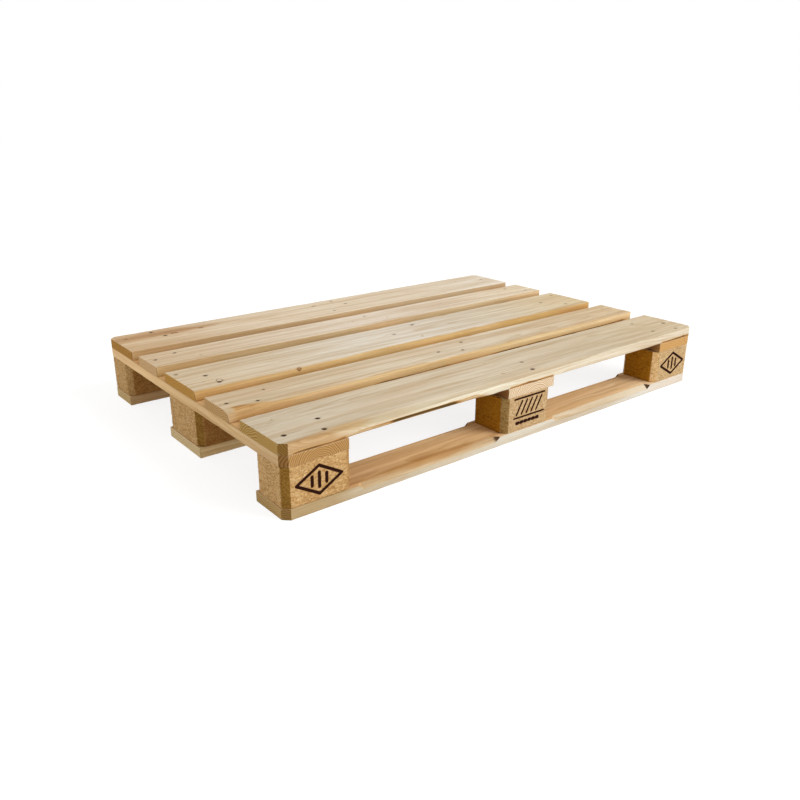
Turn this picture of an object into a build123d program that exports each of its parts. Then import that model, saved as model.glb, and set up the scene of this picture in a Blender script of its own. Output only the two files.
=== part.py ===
from build123d import *
import os

# Driving dimensions, in millimetres. X runs along the length, Y across the width, Z is up.
# The near side is -Y and the left end is -X. The origin is the middle of the footprint, on the ground.
LENGTH = 1200.0
WIDTH = 800.0
BOARD = 22.0                        # thickness of every deck, stringer and bottom board
BLOCK_HEIGHT = 78.0
WIDE = 145.0                        # wide deck and bottom boards, and every block along X
NARROW = 100.0                      # narrow deck and bottom boards, and the edge blocks along Y
STRINGER_LEFT = 137.0               # widths of the three boards that cross under the deck
STRINGER_MIDDLE = 140.0
STRINGER_RIGHT = 135.0
STRINGER_SHIFT = 6.5                # how far the middle stringer lies off centre, towards +X
UPRIGHT_CHAMFER = 13.0              # 45 degree cut on the pallet's corners and on the blocks' upright edges

# The bevel on the upper edges of the bottom boards, which lets a truck's wheels roll over them.
BEVEL_DROP = 10.0
BEVEL_RUN = 12.0
BEVEL_CLEAR = 10.0                  # left whole beside each block
BEVEL_RUNOUT = 12.0                 # slope at each end of the bevel, as the cutter leaves the board

# Nails: overall length, shank diameter, head diameter.
LONG_NAIL = (90.0, 5.0, 10.0)
SHORT_NAIL = (38.0, 3.4, 8.0)
BOTTOM_NAIL = (70.0, 4.6, 9.5)
HEAD_THICKNESS = 1.4
HEAD_CONE = 1.2                     # height of the cone that joins the head to the shank
NAIL_SUNK = 0.5                     # how far each head lies below the surface of the wood

# Nail places at each crossing, measured from the middle of the crossing, for the near half.
# The far half is the mirror image across the pallet's long centre line.
EDGE_LONG_NAILS = ((-46.0, -14.0), (24.0, -32.0), (41.0, 15.0))
EDGE_SHORT_NAIL = (-28.0, 61.0)
INNER_NAILS = ((-53.0, -4.0), (1.0, -26.0), (40.0, 22.0))
CENTRE_NAILS = ((-44.0, 7.0), (3.0, -45.0), (46.0, 47.0))
LEFT_CENTRE_NAILS = ((-59.0, 46.0), (-14.0, 3.0), (-8.0, -49.0))
EDGE_BOTTOM_NAILS = ((-40.0, 24.0), (-2.0, -20.0), (46.0, -12.0))
CENTRE_BOTTOM_NAILS = ((-46.0, -36.0), (-2.0, 40.0), (44.0, 2.0))

# Levels of the layers, from the ground up.
BLOCK_Z = BOARD
STRINGER_Z = BLOCK_Z + BLOCK_HEIGHT
DECK_Z = STRINGER_Z + BOARD
HEIGHT = DECK_Z + BOARD

# Rows across the width, and columns along the length.
DECK_GAP = (WIDTH - 3 * WIDE - 2 * NARROW) / 4
DECK_EDGE_ROW = (WIDTH - WIDE) / 2
DECK_INNER_ROW = WIDE / 2 + DECK_GAP + NARROW / 2
BLOCK_EDGE_ROW = (WIDTH - NARROW) / 2
BLOCK_COLUMN = (LENGTH - WIDE) / 2

# Deck boards: centre along Y, and width.
DECK_BOARDS = {
    "deck_board_near_edge": (-DECK_EDGE_ROW, WIDE),
    "deck_board_near_inner": (-DECK_INNER_ROW, NARROW),
    "deck_board_centre": (0.0, WIDE),
    "deck_board_far_inner": (DECK_INNER_ROW, NARROW),
    "deck_board_far_edge": (DECK_EDGE_ROW, WIDE),
}

# Stringer boards: centre along X, and width. The end ones are flush with the pallet's ends.
STRINGER_BOARDS = {
    "stringer_board_left": ((STRINGER_LEFT - LENGTH) / 2, STRINGER_LEFT),
    "stringer_board_middle": (STRINGER_SHIFT, STRINGER_MIDDLE),
    "stringer_board_right": ((LENGTH - STRINGER_RIGHT) / 2, STRINGER_RIGHT),
}

COLUMNS = {"left": -BLOCK_COLUMN, "middle": 0.0, "right": BLOCK_COLUMN}

# Rows of blocks, each standing on its own bottom board: centre along Y, and width.
ROWS = {"near": (-BLOCK_EDGE_ROW, NARROW), "centre": (0.0, WIDE), "far": (BLOCK_EDGE_ROW, NARROW)}


def upright_box(x, y, z, length, width, height):
    """A box with its middle at x and y, standing on the level z."""
    lift = Align.CENTER, Align.CENTER, Align.MIN
    return Pos(x, y, z) * Box(length, width, height, align=lift)


def footprint():
    """The space over the pallet's outline, with its four corners cut at 45 degrees."""
    whole = upright_box(0, 0, 0, LENGTH, WIDTH, HEIGHT)
    return chamfer(whole.edges().filter_by(Axis.Z), UPRIGHT_CHAMFER)


def block(x, y, width):
    """A pressed-chip block, with its upright edges cut off."""
    plain = upright_box(x, y, BLOCK_Z, WIDE, width, BLOCK_HEIGHT)
    return chamfer(plain.edges().filter_by(Axis.Z), UPRIGHT_CHAMFER)


def bevel_cutter(start, end, edge, inward):
    """The wood taken off an upper edge of a bottom board between two blocks.

    The edge lies at y = edge, and inward is +1 or -1, pointing from it into the board.
    """
    low = BOARD - BEVEL_DROP
    first, last = start + BEVEL_CLEAR, end - BEVEL_CLEAR
    outline = Polyline(
        (first, BOARD), (last, BOARD), (last - BEVEL_RUNOUT, low), (first + BEVEL_RUNOUT, low), close=True
    )
    side = extrude(Plane.XZ * make_face(outline), amount=WIDTH, both=True)
    corner = Polyline((edge, low), (edge + inward * BEVEL_RUN, BOARD), (edge, BOARD), close=True)
    wedge = extrude(Plane.YZ * make_face(corner), amount=LENGTH / 2, both=True)
    return wedge & side


def bottom_board(y, width, outline):
    """A bottom board, bevelled along both upper edges between the blocks."""
    board = upright_box(0, y, 0, LENGTH, width, BOARD) & outline
    inner, outer = WIDE / 2, LENGTH / 2 - WIDE
    for start, end in ((-outer, -inner), (inner, outer)):
        board -= bevel_cutter(start, end, y - width / 2, 1)
        board -= bevel_cutter(start, end, y + width / 2, -1)
    return board


def nail(size):
    """A nail that points down, with the top of its head at the origin."""
    length, shank, head = size
    neck = HEAD_THICKNESS + HEAD_CONE
    half = Polyline(
        (0, 0), (head / 2, 0), (head / 2, -HEAD_THICKNESS), (shank / 2, -neck),
        (shank / 2, 1.5 * shank - length), (0, -length), close=True,
    )
    return revolve(Plane.XZ * make_face(half), axis=Axis.Z)


def nail_hole(size):
    """The space that a driven nail takes: the nail, and the dent over its head."""
    head = size[2]
    return nail(size) + Pos(0, 0, NAIL_SUNK / 2) * Cylinder(head / 2, NAIL_SUNK)


def mirrored(places):
    """The same nail places on the far side of the long centre line."""
    return [(x, -y) for x, y in places]


def deck_nail_places():
    """Where the long and the short deck nails go, seen from above."""
    long_places, short_places = [], []
    for name, column in COLUMNS.items():
        centre = LEFT_CENTRE_NAILS if name == "left" else CENTRE_NAILS
        edge = [(column + x, y - BLOCK_EDGE_ROW) for x, y in EDGE_LONG_NAILS]
        inner = [(column + x, y - DECK_INNER_ROW) for x, y in INNER_NAILS]
        inner.append((column + EDGE_SHORT_NAIL[0], EDGE_SHORT_NAIL[1] - BLOCK_EDGE_ROW))
        long_places += edge + mirrored(edge) + [(column + x, y) for x, y in centre]
        short_places += inner + mirrored(inner)
    return long_places, short_places


def bottom_nail_places():
    """Where the nails of the bottom boards go, seen from above."""
    places = []
    for column in COLUMNS.values():
        edge = [(column + x, y - BLOCK_EDGE_ROW) for x, y in EDGE_BOTTOM_NAILS]
        places += edge + mirrored(edge) + [(column + x, y) for x, y in CENTRE_BOTTOM_NAILS]
    return places


def driven(solid, places, from_below=False):
    """Copies of a nail or its hole, driven down from the deck or up from below."""
    if from_below:
        return [Pos(x, y, NAIL_SUNK) * Rot(X=180) * solid for x, y in places]
    return [Pos(x, y, HEIGHT - NAIL_SUNK) * solid for x, y in places]


def overlaps(a, b):
    """Whether two bounding boxes overlap."""
    first, second = a.bounding_box(), b.bounding_box()
    gaps = [second.min - first.max, first.min - second.max]
    return all(value < 0 for gap in gaps for value in gap)


outline = footprint()
wood = {}
for name, (y, width) in DECK_BOARDS.items():
    wood[name] = upright_box(0, y, DECK_Z, LENGTH, width, BOARD) & outline
for name, (x, width) in STRINGER_BOARDS.items():
    wood[name] = upright_box(x, 0, STRINGER_Z, width, WIDTH, BOARD) & outline
for row, (y, width) in ROWS.items():
    wood[f"bottom_board_{row}"] = bottom_board(y, width, outline)
    for column, x in COLUMNS.items():
        wood[f"block_{column}_{row}"] = block(x, y, width)

long_places, short_places = deck_nail_places()
bottom_places = bottom_nail_places()
nails = {
    "deck_nails_long": driven(nail(LONG_NAIL), long_places),
    "deck_nails_short": driven(nail(SHORT_NAIL), short_places),
    "bottom_nails": driven(nail(BOTTOM_NAIL), bottom_places, from_below=True),
}
holes = driven(nail_hole(LONG_NAIL), long_places)
holes += driven(nail_hole(SHORT_NAIL), short_places)
holes += driven(nail_hole(BOTTOM_NAIL), bottom_places, from_below=True)

os.makedirs("parts", exist_ok=True)
for name, piece in wood.items():
    drilled = piece - [hole for hole in holes if overlaps(hole, piece)]
    drilled.label = name
    export_step(drilled, f"parts/{name}.step")
for name, group in nails.items():
    export_step(Compound(label=name, children=group), f"parts/{name}.step")
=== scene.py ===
import math
from dataclasses import dataclass

import bpy
import numpy as np
from mathutils import Matrix, Vector, noise


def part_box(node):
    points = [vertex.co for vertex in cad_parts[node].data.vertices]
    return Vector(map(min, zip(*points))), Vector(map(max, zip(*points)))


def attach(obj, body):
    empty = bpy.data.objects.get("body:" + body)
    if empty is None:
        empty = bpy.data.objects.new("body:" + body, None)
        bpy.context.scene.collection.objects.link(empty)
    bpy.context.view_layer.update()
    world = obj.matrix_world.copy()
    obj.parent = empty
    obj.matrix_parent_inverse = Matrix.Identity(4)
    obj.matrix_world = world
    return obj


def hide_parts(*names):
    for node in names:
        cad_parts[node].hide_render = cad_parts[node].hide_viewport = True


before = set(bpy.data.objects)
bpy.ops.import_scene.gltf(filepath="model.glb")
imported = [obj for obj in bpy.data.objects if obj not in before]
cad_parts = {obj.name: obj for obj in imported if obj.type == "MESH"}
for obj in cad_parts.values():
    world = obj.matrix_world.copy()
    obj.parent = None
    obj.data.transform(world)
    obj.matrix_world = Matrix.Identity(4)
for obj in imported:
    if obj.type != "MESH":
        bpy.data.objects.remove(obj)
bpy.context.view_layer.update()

# Lengths are in millimetres in this script and in metres in Blender. The frame gives every place:
# +X runs along the pallet, +Y away from the near long side, +Z up, from the ground.
MM = 0.001


# ---- camera, light and floor

CAMERA_TARGET = (-195.1, -206.8, 72.0)
CAMERA_DISTANCE = 1687.0
CAMERA_AZIMUTH = -38.74  # degrees, 0 looks along +Y
CAMERA_ELEVATION = 20.85
CAMERA_ROLL = 0.29
CAMERA_LENS = 35.23  # on a 36 mm sensor


def aim(thing, place, target, roll=0.0):
    """Puts a camera or lamp at a place, in metres, looking at the target."""
    look = (Vector(target) - Vector(place)).to_track_quat("-Z", "Y").to_matrix().to_4x4()
    turn = Matrix.Rotation(math.radians(roll), 4, "Z")
    thing.matrix_world = Matrix.Translation(place) @ look @ turn
    bpy.context.scene.collection.objects.link(thing)


def make_camera():
    azimuth, elevation = math.radians(CAMERA_AZIMUTH), math.radians(CAMERA_ELEVATION)
    level = math.cos(elevation)
    back = Vector((math.sin(azimuth) * level, -math.cos(azimuth) * level, math.sin(elevation)))
    target = Vector(CAMERA_TARGET) * MM
    data = bpy.data.cameras.new("camera")
    data.lens = CAMERA_LENS
    camera = bpy.data.objects.new("camera", data)
    aim(camera, target + back * CAMERA_DISTANCE * MM, target, CAMERA_ROLL)
    bpy.context.scene.camera = camera


# Lights as even as large softboxes far away: where each shines from, strength, spread in degrees, colour.
SOFTBOXES = {
    "front_softbox": ((0.60, -0.72, 0.57), 2.42, 36.0, (1.0, 0.985, 0.96)),
    "overhead_softbox": ((0.10, 0.15, 1.0), 0.30, 80.0, (1.0, 1.0, 1.0)),
    "left_fill": ((-0.90, -0.30, 0.35), 0.60, 60.0, (1.0, 1.0, 1.0)),
    "back_fill": ((-0.45, 0.80, 0.45), 0.45, 60.0, (1.0, 1.0, 1.0)),
}
ROOM_LIGHT = 0.45
ROOM_COLOUR = (1.0, 0.99, 0.975)
FLOOR_HALF = 14.0  # half the width of the floor, in metres
FLOOR_GLOW = 1.15  # the floor glows where the camera sees it directly, so it looks evenly white and shadows on it stay pale
FLOOR_GLOW_SHARE = 0.72


def make_studio():
    for name, (place, strength, spread, colour) in SOFTBOXES.items():
        data = bpy.data.lights.new(name, "SUN")
        data.energy = strength
        data.angle = math.radians(spread)
        data.color = colour
        aim(bpy.data.objects.new(name, data), place, (0.0, 0.0, 0.0))
    tree = Tree(bpy.data.worlds.new("studio"))
    room = tree.node("ShaderNodeBackground", {"Color": ROOM_COLOUR, "Strength": ROOM_LIGHT})
    sweep = tree.node("ShaderNodeBackground", {"Color": (1.0, 1.0, 1.0)})
    seen = tree.mixed(tree.seen_directly(), room, sweep)
    bpy.context.scene.world = tree.finish(seen, "ShaderNodeOutputWorld")
    bpy.context.scene.view_settings.view_transform = "Standard"


def make_floor():
    """A plain pale floor, which is no part of the pallet."""
    corners = [(x * FLOOR_HALF, y * FLOOR_HALF, 0.0) for x, y in ((-1, -1), (1, -1), (1, 1), (-1, 1))]
    mesh = bpy.data.meshes.new("floor")
    mesh.from_pydata(corners, [], [(0, 1, 2, 3)])
    floor = bpy.data.objects.new("floor", mesh)
    bpy.context.scene.collection.objects.link(floor)
    tree = Tree(bpy.data.materials.new("floor_sweep"))
    speckle = tree.noise(tree.place() * (1 / 40), detail=4)
    paint = tree.principled(tree.blend(speckle, (0.84, 0.84, 0.84), (0.88, 0.88, 0.88)), 0.85)
    glow = tree.node("ShaderNodeEmission", {"Strength": FLOOR_GLOW})
    mesh.materials.append(tree.finish(tree.mixed(tree.seen_directly() * FLOOR_GLOW_SHARE, paint, glow)))


# ---- shader arithmetic


def arithmetic(operation):
    """A method that does one operation on a field, with another field or a plain number."""
    def calculate(self, other=0.0):
        maths = self.tree.vector_math if self.socket.type == "VECTOR" else self.tree.math
        return maths(operation, self, other)
    return calculate


class Field:
    """A number or a vector that varies over a surface: a node's output, with arithmetic."""

    __add__ = arithmetic("ADD")
    __sub__ = arithmetic("SUBTRACT")
    __mul__ = arithmetic("MULTIPLY")
    __truediv__ = arithmetic("DIVIDE")
    minimum = arithmetic("MINIMUM")
    magnitude = arithmetic("ABSOLUTE")
    fraction = arithmetic("FRACT")

    def __init__(self, tree, socket):
        self.tree = tree
        self.socket = socket

    def inverse(self):
        return self.tree.math("SUBTRACT", 1.0, self)

    def rise(self, low, high, top=1.0):
        """0 below low, top above high, with a smooth step between."""
        inputs = {"Value": self, "From Min": low, "From Max": high, "To Max": top}
        node = self.tree.node("ShaderNodeMapRange", inputs, interpolation_type="SMOOTHSTEP")
        return Field(self.tree, node.outputs["Result"])


class Tree:
    """The node tree of a material or of the world, written with one call for each node."""

    def __init__(self, owner):
        owner.use_nodes = True
        self.owner = owner
        self.nodes = owner.node_tree.nodes
        self.links = owner.node_tree.links
        self.nodes.clear()

    def node(self, kind, inputs=None, **settings):
        """A new node with its settings, and what goes into its sockets by name or number."""
        made = self.nodes.new(kind)
        for name, value in settings.items():
            setattr(made, name, value)
        for socket, value in (inputs or {}).items():
            self.set(made.inputs[socket], value)
        return made

    def set(self, socket, value):
        """Links a field to a socket, or writes a plain value in it."""
        if isinstance(value, Field):
            self.links.new(value.socket, socket)
        elif socket.type == "RGBA":
            socket.default_value = (*value, 1.0)
        elif socket.type == "VECTOR" and isinstance(value, (int, float)):
            socket.default_value = (value, value, value)
        else:
            socket.default_value = value

    def math(self, operation, a, b=0.0):
        return Field(self, self.node("ShaderNodeMath", {0: a, 1: b}, operation=operation).outputs[0])

    def vector_math(self, operation, a, b=0.0):
        node = self.node("ShaderNodeVectorMath", {0: a, 1: b}, operation=operation)
        return Field(self, node.outputs["Value" if operation == "LENGTH" else "Vector"])

    def vector(self, x, y, z=0.0):
        return Field(self, self.node("ShaderNodeCombineXYZ", {0: x, 1: y, 2: z}).outputs[0])

    def length(self, x, y, z=0.0):
        return self.vector_math("LENGTH", self.vector(x, y, z))

    def bell(self, reach, steepness):
        """1 where reach is 0, falling off on all sides."""
        return self.math("EXPONENT", reach * reach * -steepness)

    def parts(self, vector):
        return [Field(self, socket) for socket in self.node("ShaderNodeSeparateXYZ", {0: vector}).outputs]

    def place(self):
        """The point on the surface, in millimetres in the pallet's frame."""
        return Field(self, self.node("ShaderNodeTexCoord").outputs["Object"]) * (1 / MM)

    def facing(self):
        """The surface's own outward direction."""
        return Field(self, self.node("ShaderNodeNewGeometry").outputs["Normal"])

    def seen_directly(self):
        """1 for what the camera sees straight on, 0 for what only lights or reflects."""
        return Field(self, self.node("ShaderNodeLightPath").outputs["Is Camera Ray"])

    def noise(self, where, detail=2.0, roughness=0.5, output="Fac"):
        inputs = {"Vector": where, "Scale": 1.0, "Detail": detail, "Roughness": roughness}
        return Field(self, self.node("ShaderNodeTexNoise", inputs).outputs[output])

    def cells(self, where, feature="F1", output="Distance"):
        node = self.node("ShaderNodeTexVoronoi", {"Vector": where, "Scale": 1.0}, feature=feature)
        return Field(self, node.outputs[output])

    def painted(self, name):
        """A number that the mesh carries at its vertices."""
        return Field(self, self.node("ShaderNodeAttribute", attribute_name=name).outputs["Fac"])

    def blend(self, share, a, b, kind="MIX"):
        inputs = {"Factor": share, 6: a, 7: b}
        node = self.node("ShaderNodeMix", inputs, data_type="RGBA", blend_type=kind, clamp_factor=True)
        return Field(self, node.outputs[2])

    def tinted(self, colour, tint, share=1.0):
        """A colour multiplied by a tint, wholly or by a share."""
        return self.blend(share, colour, tint, "MULTIPLY")

    def ramp(self, share, stops):
        """A colour ramp through (position, colour) stops."""
        node = self.node("ShaderNodeValToRGB", {"Fac": share})
        elements = node.color_ramp.elements
        while len(elements) < len(stops):
            elements.new(0.5)
        for element, (position, colour) in zip(elements, stops):
            element.position = position
            element.color = (*colour, 1.0)
        return Field(self, node.outputs["Color"])

    def bump(self, height):
        """Turns a height in millimetres into a surface direction."""
        node = self.node("ShaderNodeBump", {"Strength": 1.0, "Distance": MM, "Height": height})
        return Field(self, node.outputs["Normal"])

    def principled(self, colour, roughness, height=None, metallic=0.0, specular=0.5):
        inputs = {"Base Color": colour, "Roughness": roughness, "Metallic": metallic,
                  "Specular IOR Level": specular}
        if height is not None:
            inputs["Normal"] = self.bump(height)
        return self.node("ShaderNodeBsdfPrincipled", inputs)

    def mixed(self, share, first, second):
        """Two shaders, mixed by a share of the second."""
        inputs = {"Fac": share, 1: Field(self, first.outputs[0]), 2: Field(self, second.outputs[0])}
        return self.node("ShaderNodeMixShader", inputs)

    def finish(self, shader, kind="ShaderNodeOutputMaterial"):
        self.node(kind, {"Surface": Field(self, shader.outputs[0])})
        return self.owner


def shade(red, green, blue):
    """A colour as it looks on a screen, from 0 to 255, as the linear colour that shaders use."""
    def linear(value):
        value /= 255
        return value / 12.92 if value <= 0.04045 else ((value + 0.055) / 1.055) ** 2.4
    return linear(red), linear(green), linear(blue)


# ---- timber

WANE_GOLD = shade(206, 172, 122)
# Brown and dark bark, also used as painted shade in joints and at the foot of sides.
BROWN_BARK_AND_SHADE = shade(158, 112, 58)
DARK_BARK_AND_SHADE = shade(88, 66, 22)
KNOT_HEART = shade(150, 104, 66)
KNOT_RIM = shade(104, 66, 38)
NAIL_STAIN = shade(84, 66, 46)
FRAY = shade(226, 204, 170)
RUN_OUT_PAINTED_SHADE = shade(70, 40, 14)  # painted shade where the bevels run out, on slanted faces towards a board's left end
# Tints, by which a colour is multiplied.
LATE_WOOD = (0.80, 0.69, 0.54)  # a growth line or a fibre
DARK_STREAK = (0.87, 0.81, 0.73)
LIGHT_STREAK = (1.07, 1.09, 1.12)
MIDDLE_HIGHLIGHT = (1.07, 1.11, 1.15)  # the sides are painted paler half way along a board, a painted highlight
SIDE_LOW = (0.76, 0.71, 0.61)  # and are painted darker towards their lower edge, a painted shade in the gaps, and paler towards their upper edge, a painted highlight
SIDE_HIGH = (1.17, 1.24, 1.42)
END_RING = (0.50, 0.37, 0.22)
CORNER_SHADE = (0.58, 0.50, 0.34)  # the sawn-off corners are painted darker
BEVEL_PAINTED_SHADE = (0.87, 0.87, 0.82)  # slanted faces, the bevels most of all, are painted darker: a painted shade
# Growth rings, in millimetres.
RING_WANDER = 26.0  # how far the rings stray along the board, slowly and in ripples
RING_RIPPLE = 2.2
KNOT_DEPTH = 7.0
KNOT_PUSH = 7.0  # how far a knot pushes the rings aside
YEAR_LENGTH = 17.0  # wide and narrow years take turns over this distance
YEAR_SPREAD = 2.4
# Relief, in millimetres.
LATE_RELIEF = 0.10
FIBRE_RELIEF = 0.16
PORE_RELIEF = 0.07
SAW_RELIEF = 0.03
KNOT_RELIEF = 0.25


@dataclass
class Wood:
    """How one sawn board looks: colours as on a screen, places from the board's middle."""

    broad: tuple  # colours of the broad faces: left end, middle and right end
    narrow: tuple  # colours of the long narrow faces: left and right end
    end: tuple  # colour of the sawn ends
    side_shading: float = 0.0  # how strongly the narrow faces are painted darker at the foot, a painted shade, and paler at the top, a painted highlight
    pith: tuple = (0.0, -60.0)  # where the tree's centre lies, across and up
    drift: tuple = (0.01, 0.012)  # how far that centre wanders per unit of length
    ring: float = 3.2  # width of a growth ring
    contrast: float = 0.5
    blush: tuple = (205, 175, 140)
    blush_share: float = 0.3
    knots: tuple = ()  # along, across, radius, stretch along the grain
    hammer_rings: tuple = ()  # along, across, radius and stretch of a ring dented round a nail
    patches: tuple = ()  # along, across, half length, half width, colour, strength; a few are painted light, and a few painted shade
    swirls: tuple = ()  # along, across, up, size and lift of a place where the grain curls


def grain_axes(tree, box, crosswise):
    """Distances along, across and up from the middle of a board, whichever way it lies."""
    lo, hi = box
    middle = (lo + hi) / (2 * MM)
    x, y, z = tree.parts(tree.place() - tuple(middle))
    nx, ny, nz = tree.parts(tree.facing())
    if crosswise:
        return (y, x * -1.0, z), (ny, nx, nz)
    return (x, y, z), (nx, ny, nz)


def timber(name, wood, box, crosswise, seed):
    """Sawn softwood: growth rings about the tree's centre cut by the board, with knots and streaks."""
    tree = Tree(bpy.data.materials.new(name))
    (along, across, up), (n_along, n_across, n_up) = grain_axes(tree, box, crosswise)
    shift = 37.0 * seed
    length = max(hi - lo for lo, hi in zip(*box)) / MM
    half_thick = (box[1][2] - box[0][2]) / MM / 2
    towards_right = along / length * (-1.0 if crosswise else 1.0) + 0.5

    def reach(centre, sizes):
        """Distance from a place in the board, in units of its sizes along, across and up."""
        offsets = zip((along, across, up), centre, sizes)
        return tree.length(*((here - there) / size for here, there, size in offsets))

    def figure(long, short, detail=2.0, roughness=0.5, shifts=(0.0, shift)):
        """Noise drawn out along the grain, by its size along and across it."""
        where = tree.vector(along / long + shifts[0], across / short, up / short + shifts[1])
        return tree.noise(where, detail, roughness)

    wander = figure(420, 70, shifts=(shift, 0.0))
    ripple = figure(60, 9, shifts=(shift, 0.0))
    streak = figure(330, 13, 3.0, 0.55, (shift, 0.0))
    blush = figure(240, 34, shifts=(-shift, 0.0))
    fibre = figure(22, 0.7, 3.0, 0.6)
    pores = figure(5, 0.35)
    vigour = figure(300, 25)
    strands = figure(55, 3.2)

    # Distance to the nearest knot's heart, in knot radii. A knot dies out down into the board.
    knot = None
    for k_along, k_across, size, stretch in wood.knots:
        distance = reach((k_along, k_across, half_thick), (size * stretch, size, KNOT_DEPTH))
        knot = distance if knot is None else knot.minimum(distance)

    # Growth rings: the distance from the tree's centre, which drifts along the board.
    from_pith = [off - along * drift - pith for off, drift, pith in zip((across, up), wood.drift, wood.pith)]
    radius = tree.length(*from_pith)
    radius = radius + (wander - 0.5) * RING_WANDER + (ripple - 0.5) * RING_RIPPLE
    if knot is not None:
        radius = radius + tree.bell(knot, 0.35) * KNOT_PUSH
    for s_along, s_across, s_up, size, lift in wood.swirls:
        swirl = reach((s_along, s_across, s_up), (size * 1.8, size, size * 0.5))
        radius = radius + tree.bell(swirl, 1.0) * lift
    year = tree.noise(tree.vector(radius / YEAR_LENGTH + shift, 0.0), 1.0) * YEAR_SPREAD
    phase = (radius / wood.ring + year).fraction()
    late = phase.rise(0.25, 0.88) * phase.rise(0.93, 1.0).inverse()

    # The broad and the narrow faces, with patches and soft long streaks.
    left, middle, right = (shade(*colour) for colour in wood.broad)
    # A paler middle along each face, broad and narrow, is partly the wood's own tone and partly a painted
    # highlight.
    off_middle = (towards_right * 2.0 - 1.0).magnitude().rise(0.1, 1.0)
    broad = tree.blend(off_middle, middle, tree.blend(towards_right, left, right))
    narrow = tree.blend(towards_right, *(shade(*colour) for colour in wood.narrow))
    narrow = tree.tinted(narrow, MIDDLE_HIGHLIGHT, off_middle.inverse())
    on_side = n_across.magnitude().rise(0.45, 0.8)
    colour = tree.blend(on_side, broad, narrow)
    colour = tree.blend(blush.rise(0.42, 0.75, wood.blush_share), colour, shade(*wood.blush))
    for p_along, p_across, half_length, half_width, tint, strength in wood.patches:
        patch = reach((p_along, p_across), (half_length, half_width))
        patch = patch + (ripple - 0.5) * 0.9 + (wander - 0.5) * 1.2
        colour = tree.blend(patch.rise(0.3, 1.2).inverse() * strength, colour, shade(*tint))
    # Painted shade low on the narrow faces and a painted highlight high on them.
    if wood.side_shading > 0:
        side_shading_tint = tree.blend((up / half_thick).rise(-0.9, 0.7), SIDE_LOW, SIDE_HIGH)
        colour = tree.tinted(colour, side_shading_tint, on_side * wood.side_shading)
    colour = tree.tinted(colour, tree.blend(streak.rise(0.3, 0.7), DARK_STREAK, LIGHT_STREAK))
    colour = tree.tinted(colour, LATE_WOOD, late * vigour.rise(0.3, 0.62) * (wood.contrast * 1.4))

    # The sawn ends and corners, the knots, the rings hammered round nails, and the bevels.
    end = tree.tinted(shade(*wood.end), END_RING, late * 0.9)
    end = tree.tinted(end, CORNER_SHADE, (n_along.magnitude() * n_across.magnitude()).rise(0.34, 0.46))
    colour = tree.blend(n_along.magnitude().rise(0.45, 0.66), colour, end)
    if knot is not None:
        rim = knot.rise(0.72, 0.98) * knot.rise(1.0, 1.35).inverse()
        colour = tree.blend(knot.rise(0.75, 1.15).inverse() * 0.8, colour, KNOT_HEART)
        colour = tree.blend(rim * 0.8, colour, KNOT_RIM)
    for h_along, h_across, h_radius, stretch in wood.hammer_rings:
        off_ring = (reach((h_along, h_across), (1.0, stretch)) - h_radius).magnitude()
        colour = tree.blend(off_ring.rise(0.5, 1.6).inverse() * 0.7, colour, NAIL_STAIN)
    # Painted shade on slanted faces such as the bevels and wanes.
    slanted = (n_across * n_up).magnitude()
    colour = tree.tinted(colour, BEVEL_PAINTED_SHADE, slanted.rise(0.3, 0.42))
    # Painted shade on the run-out walls that face a board's left end.
    colour = tree.blend((slanted * n_along * -1.0).rise(0.10, 0.15, 0.95), colour, RUN_OUT_PAINTED_SHADE)

    # What the mesh carries: wane and bark, with painted shade in joints and along the foot of some sides,
    # stains round nails and in cracks, frayed ends.
    bark = tree.painted("bark")
    uneven = (streak - 0.5) * 0.35 + (strands - 0.5) * 1.2
    bark = bark + uneven * bark.rise(0.05, 0.2)
    colour = tree.blend(bark.rise(0.0, 0.33), colour, tree.tinted(WANE_GOLD, DARK_STREAK))
    colour = tree.blend(bark.rise(0.33, 0.7), colour, BROWN_BARK_AND_SHADE)
    colour = tree.blend(bark.rise(0.7, 1.0), colour, DARK_BARK_AND_SHADE)
    colour = tree.blend(tree.painted("stain"), colour, NAIL_STAIN)
    colour = tree.blend(tree.painted("fray") * fibre.rise(0.3, 0.7), colour, FRAY)
    colour = tree.tinted(colour, LATE_WOOD, fibre.rise(0.35, 0.75, 0.42))

    # Late wood stands up, fibres and saw marks are scratched in.
    saw = tree.math("SINE", along * 1.9 + ripple * 9.0) * 0.5 + 0.5
    height = late * LATE_RELIEF + fibre * FIBRE_RELIEF + pores * PORE_RELIEF + saw * SAW_RELIEF
    if knot is not None:
        height = height + knot.rise(0.8, 1.1).inverse() * KNOT_RELIEF
    return tree.finish(tree.principled(colour, fibre * 0.18 + 0.66, height, specular=0.2))


# ---- pressed chips and steel

CHIP_TONES = ((0.0, shade(128, 86, 42)), (0.22, shade(170, 126, 74)), (0.45, shade(200, 160, 108)),
              (0.72, shade(218, 184, 136)), (1.0, shade(232, 206, 164)))
CHIP_SPECK = shade(104, 66, 30)
CHAR = shade(42, 17, 8)
SCORCH = shade(132, 84, 42)
# Tints: the gaps between flakes; the cut-off upright edges, painted darker at the pallet's corners and as
# painted shade inside, and paler as painted light where their share is negative; and painted shade on the
# inner sides under the deck.
GAP_SHADE = (0.52, 0.42, 0.28)
CUT_SHADE = (0.50, 0.42, 0.18)
CUT_PAINTED_LIGHT = (1.42, 1.36, 1.24)
UNDER_DECK_PAINTED_SHADE = (0.65, 0.40, 0.05)


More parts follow.
